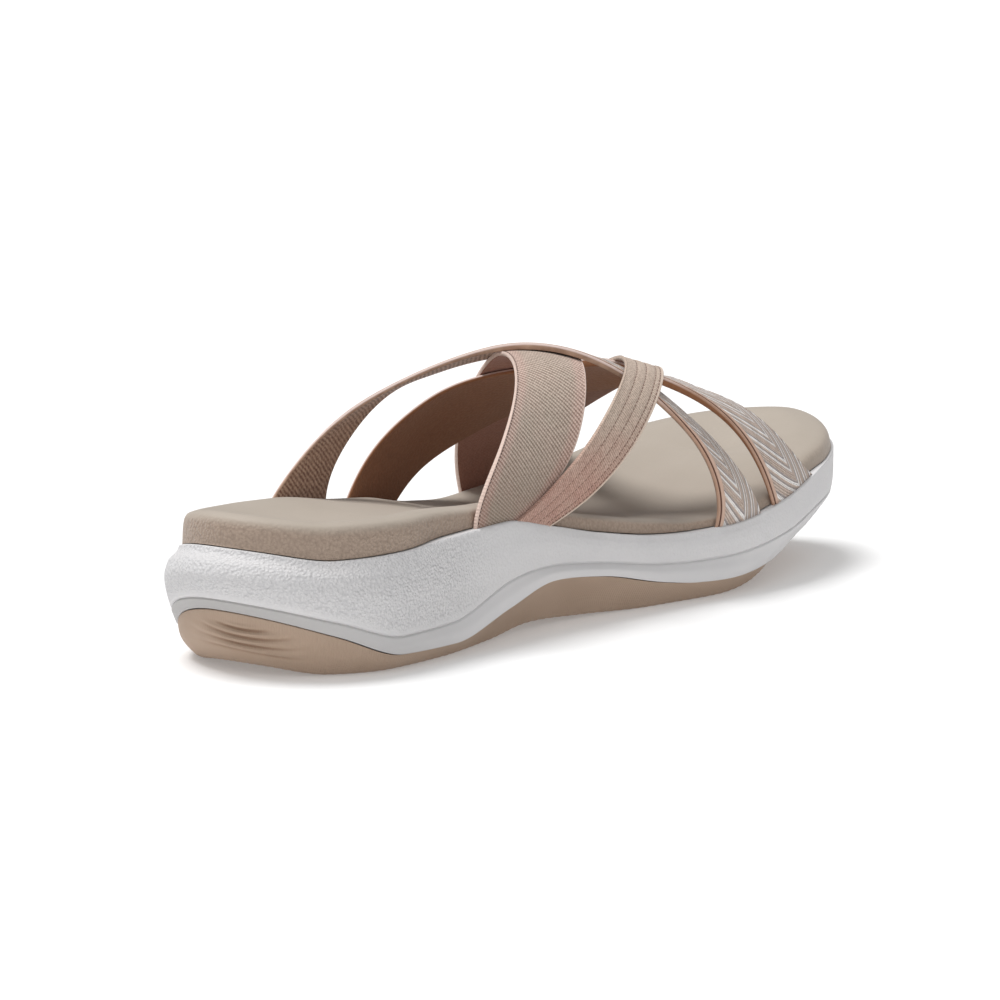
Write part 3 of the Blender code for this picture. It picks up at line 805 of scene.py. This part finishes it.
# Stripes of one chevron: where each stop lies in the pattern and its screen colour.
CHEVRON_STOPS = (
    (0.00, (246, 243, 241)),
    (0.14, (246, 243, 241)),
    (0.17, (150, 142, 141)),
    (0.26, (170, 160, 157)),
    (0.30, (214, 196, 183)),
    (0.36, (166, 145, 131)),
    (0.43, (224, 208, 196)),
    (0.49, (160, 139, 125)),
    (0.56, (222, 203, 191)),
    (0.62, (164, 144, 132)),
    (0.66, (238, 233, 230)),
    (0.76, (238, 233, 230)),
    (0.79, (154, 146, 144)),
    (0.88, (176, 162, 154)),
    (0.94, (212, 192, 178)),
)

# Lining of each strap: its darker and lighter yarn and how clearly its weave shows.
LININGS = {
    "back_chevron": (colour(122, 90, 74), colour(202, 170, 147), 0.6),
    "twill": (colour(156, 108, 90), colour(176, 128, 108), 0.2),
    "front_chevron": (colour(138, 93, 64), colour(156, 110, 80), 0.1),
    "stitched": (colour(128, 84, 62), colour(146, 100, 78), 0.1),
}

# Rows of yarn: how far they slant and their pitch.
LINING_ROWS = (-0.6, 1.25)
TWILL_RIBS = (0.75, 1.2)
TWILL_ROWS = (-0.5, 1.3)
ELASTIC_GRAIN = (0.8, 0.75)
ELASTIC_ROWS = (-0.7, 0.7)
KNIT_ROWS = (0.6, 0.8)
KNIT_RIDGE = 1.2
RUBBER_RIBS = 0.7

# Chevrons: their pitch, the place of their tip as a part of the strap's width, how far they run
# back from the tip to the rear and to the front edge, and a shift that keeps their count positive.
CHEVRON_PITCH = 10.0
CHEVRON_TIP = 0.62
CHEVRON_REAR = 22.0
CHEVRON_FRONT = 62.0
CHEVRON_SHIFT = 200.0

# Runs along a strap from its medial end between which its cloth changes: the twill darkens to its
# foot, the elastic turns greige, the chevron straps' binding narrows and their lip pales.
TWILL_FOOT = (34.0, 4.0)
ELASTIC_TURN = (12.0, 62.0)
BINDING_TAPER = (8.0, 45.0)
LIP_PALES = (36.0, 52.0)
BOUND_WIDE = 2.5
BOUND_NARROWS = 0.8

# Distances from a strap's edge between which its cloth changes: the twill's rose tint and its thin
# edge, the elastic's rim, and the lip, the painted shade in the seam and the bound edge of the
# chevron straps.
TWILL_ROSY = (6.5, 1.5)
TWILL_THIN = (0.5, 0.8)
RIM_EDGE = (1.2, 0.9)
LIP_EDGE = (LIP_SEAM - 0.15, LIP_SEAM + 0.15)
SEAM_EDGE = (0.1, 0.3)
BOUND_EDGE = (-0.1, 0.1)

# Part of the width at which the elastic's rim shows, and heights between which the lining ends.
RIM_PART = (0.3, 0.7)
LINING_TOP = (-0.25, 0.15)

# Where flecks of yarn, the painted shade in the pits of the pebble grain and the painted shade in
# the hollows of the ripples start and are full, and how dark the painted shade in the pits is.
FLECKS = (0.3, 0.7)
TWILL_FLECKS = (0.35, 0.7)
PITS = (0.3, 0.75)
PIT_SHADE = 0.3
HOLLOWS = (0.0, -0.9)

# Numbers of the colour sockets of a mix node.
MIX_INPUTS = (0, 6, 7)
MIX_OUTPUT = 2


class Finish:
    """A Principled material with short calls for its nodes."""

    def __init__(self, name, roughness, sheen=0.0, specular=0.5):
        self.material = bpy.data.materials.new(name)
        self.material.use_nodes = True
        self.tree = self.material.node_tree
        self.shader = self.tree.nodes["Principled BSDF"]
        self.shader.inputs["Roughness"].default_value = roughness
        self.shader.inputs["Sheen Weight"].default_value = sheen
        self.shader.inputs["Specular IOR Level"].default_value = specular

    def feed(self, socket, value):
        """Link a socket to another, or set its value."""
        if isinstance(value, bpy.types.NodeSocket):
            self.tree.links.new(value, socket)
        else:
            socket.default_value = value

    def calc(self, operation, *values):
        """Result of an operation on values or sockets."""
        node = self.tree.nodes.new("ShaderNodeMath")
        node.operation = operation
        for socket, value in zip(node.inputs, values):
            self.feed(socket, value)
        return node.outputs[0]

    def mark(self, name):
        """Value of a mark of the mesh."""
        node = self.tree.nodes.new("ShaderNodeAttribute")
        node.attribute_name = name
        return node.outputs["Fac"]

    def place(self):
        """Place in the piece, in metres."""
        return self.tree.nodes.new("ShaderNodeTexCoord").outputs["Object"]

    def noise(self, scale):
        """Soft noise with some number of spots to a metre."""
        node = self.tree.nodes.new("ShaderNodeTexNoise")
        self.feed(node.inputs["Vector"], self.place())
        node.inputs["Scale"].default_value = scale
        node.inputs["Detail"].default_value = 2.0
        return node.outputs["Fac"]

    def pebbles(self, scale):
        """Distance from the middle of pebbles, with some number of them to a metre."""
        node = self.tree.nodes.new("ShaderNodeTexVoronoi")
        node.feature = "SMOOTH_F1"
        self.feed(node.inputs["Vector"], self.place())
        node.inputs["Scale"].default_value = scale
        node.inputs["Smoothness"].default_value = 0.5
        return node.outputs["Distance"]

    def wave(self, value, pitch):
        """Wave from 0 to 1 with a pitch."""
        turned = self.calc("MULTIPLY", value, 2 * math.pi / pitch)
        return self.calc("MULTIPLY_ADD", self.calc("SINE", turned), 0.5, 0.5)

    def rows(self, along, across, slant, pitch):
        """Rows of yarn that follow each other along one way and slant with the other."""
        return self.wave(self.calc("MULTIPLY_ADD", across, slant, along), pitch)

    def step(self, value, start, full):
        """Soft step from 0 to 1 between two values."""
        node = self.tree.nodes.new("ShaderNodeMapRange")
        node.interpolation_type = "SMOOTHSTEP"
        self.feed(node.inputs["Value"], value)
        node.inputs["From Min"].default_value = start
        node.inputs["From Max"].default_value = full
        return node.outputs["Result"]

    def scaled(self, value, factor):
        """Product of a value or socket with another."""
        return self.calc("MULTIPLY", value, factor)

    def mix(self, part, first, second):
        """Colour between two colours."""
        node = self.tree.nodes.new("ShaderNodeMix")
        node.data_type = "RGBA"
        for socket, value in zip(MIX_INPUTS, (part, first, second)):
            self.feed(node.inputs[socket], value)
        return node.outputs[MIX_OUTPUT]

    def stripes(self, value, stops):
        """Colour of a run of stripes."""
        node = self.tree.nodes.new("ShaderNodeValToRGB")
        self.feed(node.inputs["Fac"], value)
        ramp = node.color_ramp
        while len(ramp.elements) < len(stops):
            ramp.elements.new(0.5)
        for element, (position, shade) in zip(ramp.elements, stops):
            element.position = position
            element.color = colour(*shade)
        return node.outputs["Color"]

    def done(self, base, height, strength, distance):
        """The material, with its colour and with a relief of some depth in millimetres."""
        self.feed(self.shader.inputs["Base Color"], base)
        bump = self.tree.nodes.new("ShaderNodeBump")
        self.feed(bump.inputs["Height"], height)
        self.feed(bump.inputs["Strength"], strength)
        bump.inputs["Distance"].default_value = distance * MM
        self.feed(self.shader.inputs["Normal"], bump.outputs["Normal"])
        return self.material


def foam():
    """Off-white foam with a pebble grain where the side is grainy, painted shade in the pits of that
    grain and painted shade on its lower band at the heel.
    """
    f = Finish("foam_off_white", roughness=0.7, specular=0.25)
    grain, pebbles = f.mark("grain"), f.pebbles(scale=1300)
    base = f.mix(f.noise(scale=90), *FOAM)
    # Painted shade in the pits of the pebble grain.
    pit_shade_mask = f.scaled(f.step(pebbles, *PITS), grain)
    base = f.mix(f.scaled(pit_shade_mask, PIT_SHADE), base, FOAM_PIT_SHADE)
    # Painted shade on the lower band at the heel, which faces downwards.
    base = f.mix(f.scaled(f.mark("band"), 0.8), base, FOAM_HEEL_BAND_SHADE)
    height = f.calc("MULTIPLY_ADD", pebbles, -1.0, f.scaled(f.noise(scale=1300), 0.4))
    return f.done(base, height, strength=f.calc("MULTIPLY_ADD", grain, 0.8, 0.05), distance=0.5)


def rubber():
    """Tan rubber with fine upright ribs on its side and painted shade in the hollows between its
    ripples.
    """
    f = Finish("rubber_tan", roughness=0.6, specular=0.35)
    base = f.mix(f.noise(scale=120), *TAN)
    # Painted shade in the hollows between the ripples.
    base = f.mix(f.step(f.mark("ripple"), *HOLLOWS), base, TAN_HOLLOW_SHADE)
    ribs = f.scaled(f.wave(f.mark("run"), RUBBER_RIBS), f.mark("side"))
    height = f.calc("MULTIPLY_ADD", f.noise(scale=1800), 0.5, ribs)
    return f.done(base, height, strength=0.4, distance=0.14)


def bed_cover():
    """Taupe cover of the footbed, smooth on top, darker and pebbled on its wall, with painted shade in
    the pits of the pebbles.
    """
    f = Finish("footbed_taupe", roughness=0.62, sheen=0.15, specular=0.3)
    grain, pebbles = f.mark("grain"), f.pebbles(scale=1200)
    wall = f.mix(f.noise(scale=1200), *BED_WALL)
    # Painted shade in the pits of the pebbles.
    wall = f.mix(f.scaled(f.step(pebbles, *PITS), PIT_SHADE), wall, BED_PIT_SHADE)
    base = f.mix(f.mark("below"), f.mix(f.noise(scale=70), *BED_TOP), wall)
    height = f.calc("MULTIPLY_ADD", pebbles, -1.0, f.scaled(f.noise(scale=2200), 0.5))
    return f.done(base, height, strength=f.calc("MULTIPLY_ADD", grain, 0.8, 0.06), distance=0.45)


def cloth(name):
    """Matte textile, with its marks across and along the strap."""
    f = Finish(name, roughness=0.85, sheen=0.2, specular=0.2)
    return f, f.mark("across"), f.mark("along")


def lining(name):
    """Brown textile inside of a strap."""
    f, across, along = cloth("lining_" + name)
    dark, light, clear = LININGS[name]
    loose = f.calc("ADD", f.noise(scale=260), along)
    weave = f.rows(loose, across, *LINING_ROWS)
    fleck = f.step(f.noise(scale=1300), *FLECKS)
    part = f.calc("MULTIPLY_ADD", weave, clear, f.scaled(fleck, 0.5))
    base = f.mix(f.calc("SUBTRACT", part, 0.15), dark, light)
    return f.done(base, f.calc("MULTIPLY_ADD", weave, clear, fleck), strength=0.4, distance=0.15)


def twill():
    """Elastic twill: slanting rows of dotted greige yarn, rosier towards its thin light edges."""
    f, across, along = cloth("twill_rose_taupe")
    edge = f.mark("edge")
    yarn = f.rows(across, along, *TWILL_ROWS)
    dots = f.scaled(f.rows(along, across, *TWILL_RIBS), f.calc("MULTIPLY_ADD", yarn, 0.55, 0.45))
    rosy = f.calc("MULTIPLY_ADD", f.noise(scale=110), 0.7, f.step(edge, *TWILL_ROSY))
    dark = f.mix(rosy, *TWILL_DARK)
    light = f.mix(f.scaled(f.step(along, *TWILL_FOOT), 0.55), f.mix(rosy, *TWILL_LIGHT), dark)
    flecked = f.calc("MULTIPLY_ADD", f.step(f.noise(scale=1500), *TWILL_FLECKS), 0.3, dots)
    base = f.mix(f.step(edge, *TWILL_THIN), TWILL_EDGE, f.mix(flecked, dark, light))
    return f.done(base, dots, strength=0.6, distance=0.22)


def stitched_cloth():
    """Rose elastic with a fine speckled grain that turns to greige higher up."""
    f, across, along = cloth("elastic_rose")
    grain = f.rows(along, across, *ELASTIC_GRAIN)
    yarn = f.rows(across, along, *ELASTIC_ROWS)
    fleck = f.step(f.noise(scale=1900), *FLECKS)
    speck = f.calc("MULTIPLY_ADD", fleck, 0.5, f.scaled(grain, 0.5))
    patches = f.calc("MULTIPLY_ADD", f.noise(scale=160), 0.6, f.step(along, *ELASTIC_TURN))
    base = f.mix(f.calc("SUBTRACT", patches, 0.25), f.mix(speck, *ROSE), f.mix(speck, *GREIGE))
    rim = f.scaled(f.step(f.mark("edge"), *RIM_EDGE), f.step(f.mark("part"), *RIM_PART))
    base = f.mix(rim, base, ELASTIC_RIM)
    return f.done(base, f.calc("MULTIPLY_ADD", yarn, 0.5, speck), strength=0.6, distance=0.25)


def chevron_cloth(name):
    """Knit with nested chevrons of white, silver, greige and rose yarn, bound in peach."""
    f, across, along = cloth("knit_" + name)
    off = f.calc("SUBTRACT", f.mark("part"), CHEVRON_TIP)
    rear = f.scaled(f.calc("MAXIMUM", f.scaled(off, -1.0), 0.0), CHEVRON_REAR)
    front = f.scaled(f.calc("MAXIMUM", off, 0.0), CHEVRON_FRONT)
    rise = f.calc("SUBTRACT", f.calc("SUBTRACT", along, rear), front)
    count = f.calc("DIVIDE", f.calc("ADD", rise, CHEVRON_SHIFT), CHEVRON_PITCH)
    base = f.stripes(f.calc("FRACT", count), CHEVRON_STOPS)
    yarn = f.rows(across, along, *KNIT_ROWS)
    base = f.mix(f.scaled(yarn, 0.2), base, KNIT_YARN)
    limit = f.calc("MULTIPLY_ADD", f.step(along, *BINDING_TAPER), -BOUND_NARROWS, BOUND_WIDE)
    knit = f.step(f.calc("SUBTRACT", across, limit), *BOUND_EDGE)
    mottle = f.noise(scale=300)
    base = f.mix(knit, f.mix(mottle, *PEACH), base)
    lip = f.mix(f.step(along, *LIP_PALES), f.mix(mottle, *LIP_SHADES), CREST_LIP)
    base = f.mix(f.step(across, *LIP_EDGE), lip, base)
    from_seam = f.calc("ABSOLUTE", f.calc("SUBTRACT", across, LIP_SEAM))
    # Painted shade in the narrow seam between the lip and the binding.
    base = f.mix(f.step(from_seam, *SEAM_EDGE), SEAM_SHADE, base)
    base = f.mix(f.step(f.mark("rise"), *LINING_TOP), f.mix(mottle, *LININGS[name][:2]), base)
    ridges = f.calc("MULTIPLY_ADD", yarn, 0.5, f.wave(rise, KNIT_RIDGE))
    return f.done(base, f.scaled(ridges, knit), strength=0.7, distance=0.25)


def thread(name, shades):
    """Sewing thread."""
    f = Finish(name, roughness=0.7, sheen=0.3)
    return f.done(f.mix(f.noise(scale=500), *shades), f.noise(scale=3000), strength=0.3, distance=0.05)


def upper():
    """The four straps with their stitching."""
    strap("back_chevron", chevron_cloth("back_chevron"), lining("back_chevron"))
    strap("twill", twill(), lining("twill"))
    strap("front_chevron", chevron_cloth("front_chevron"), lining("front_chevron"))
    strap("stitched", stitched_cloth(), lining("stitched"))
    edge = [lambda width: np.full_like(width, TWILL_EDGE_ROW)]
    stitches("twill", "edge", edge, TWILL_STITCH, thread("thread_dark", DARK_THREAD))
    rows = [lambda width, part=part: part * width for part in CHANNELS["stitched"]]
    rows.append(lambda width: width - STITCHED_EDGE_ROW)
    stitches("stitched", "rows", rows, ROW_STITCH, thread("thread_brown", BROWN_THREAD))


def floor():
    """Plain pale floor with a faint glow that softens the shadows."""
    f = Finish("floor_pale", roughness=0.8, specular=0.1)
    mesh = bpy.data.meshes.new("floor")
    corners = [(x * FLOOR_REACH, y * FLOOR_REACH, 0) for x, y in ((-1, -1), (1, -1), (1, 1), (-1, 1))]
    mesh.from_pydata(corners, [], [(0, 1, 2, 3)])
    f.shader.inputs["Base Color"].default_value = (FLOOR_SHADE, FLOOR_SHADE, FLOOR_SHADE, 1.0)
    f.shader.inputs["Emission Color"].default_value = (1.0, 1.0, 1.0, 1.0)
    f.shader.inputs["Emission Strength"].default_value = FLOOR_GLOW
    mesh.materials.append(f.material)
    ground = bpy.data.objects.new("floor", mesh)
    bpy.context.scene.collection.objects.link(ground)


def light():
    """Soft light from a wide sky, a broad lamp above and a fill lamp behind the heel."""
    world = bpy.data.worlds.new("studio")
    world.use_nodes = True
    background = world.node_tree.nodes["Background"]
    background.inputs["Color"].default_value = (1.0, 1.0, 1.0, 1.0)
    background.inputs["Strength"].default_value = SKY
    bpy.context.scene.world = world
    for name, (strength, spread, way) in LAMPS.items():
        lamp = bpy.data.lights.new(name, "SUN")
        lamp.energy = strength
        lamp.angle = math.radians(spread)
        holder = bpy.data.objects.new(name, lamp)
        holder.rotation_mode = "QUATERNION"
        holder.rotation_quaternion = Vector(way).to_track_quat("-Z", "Y")
        bpy.context.scene.collection.objects.link(holder)


def camera():
    """Camera at the photograph's angle."""
    a, e = math.radians(AZIMUTH), math.radians(ELEVATION)
    back = Vector((math.sin(a) * math.cos(e), -math.cos(a) * math.cos(e), math.sin(e)))
    data = bpy.data.cameras.new("photo_view")
    data.lens = LENS
    data.sensor_width = SENSOR
    holder = bpy.data.objects.new("photo_view", data)
    holder.location = Vector(TARGET) * MM + back * DISTANCE
    holder.rotation_mode = "QUATERNION"
    holder.rotation_quaternion = (-back).to_track_quat("-Z", "Y")
    bpy.context.scene.collection.objects.link(holder)
    bpy.context.scene.camera = holder


bpy.context.scene.view_settings.view_transform = "Standard"
camera()
light()
floor()
outsole()
midsole()
footbed()
upper()
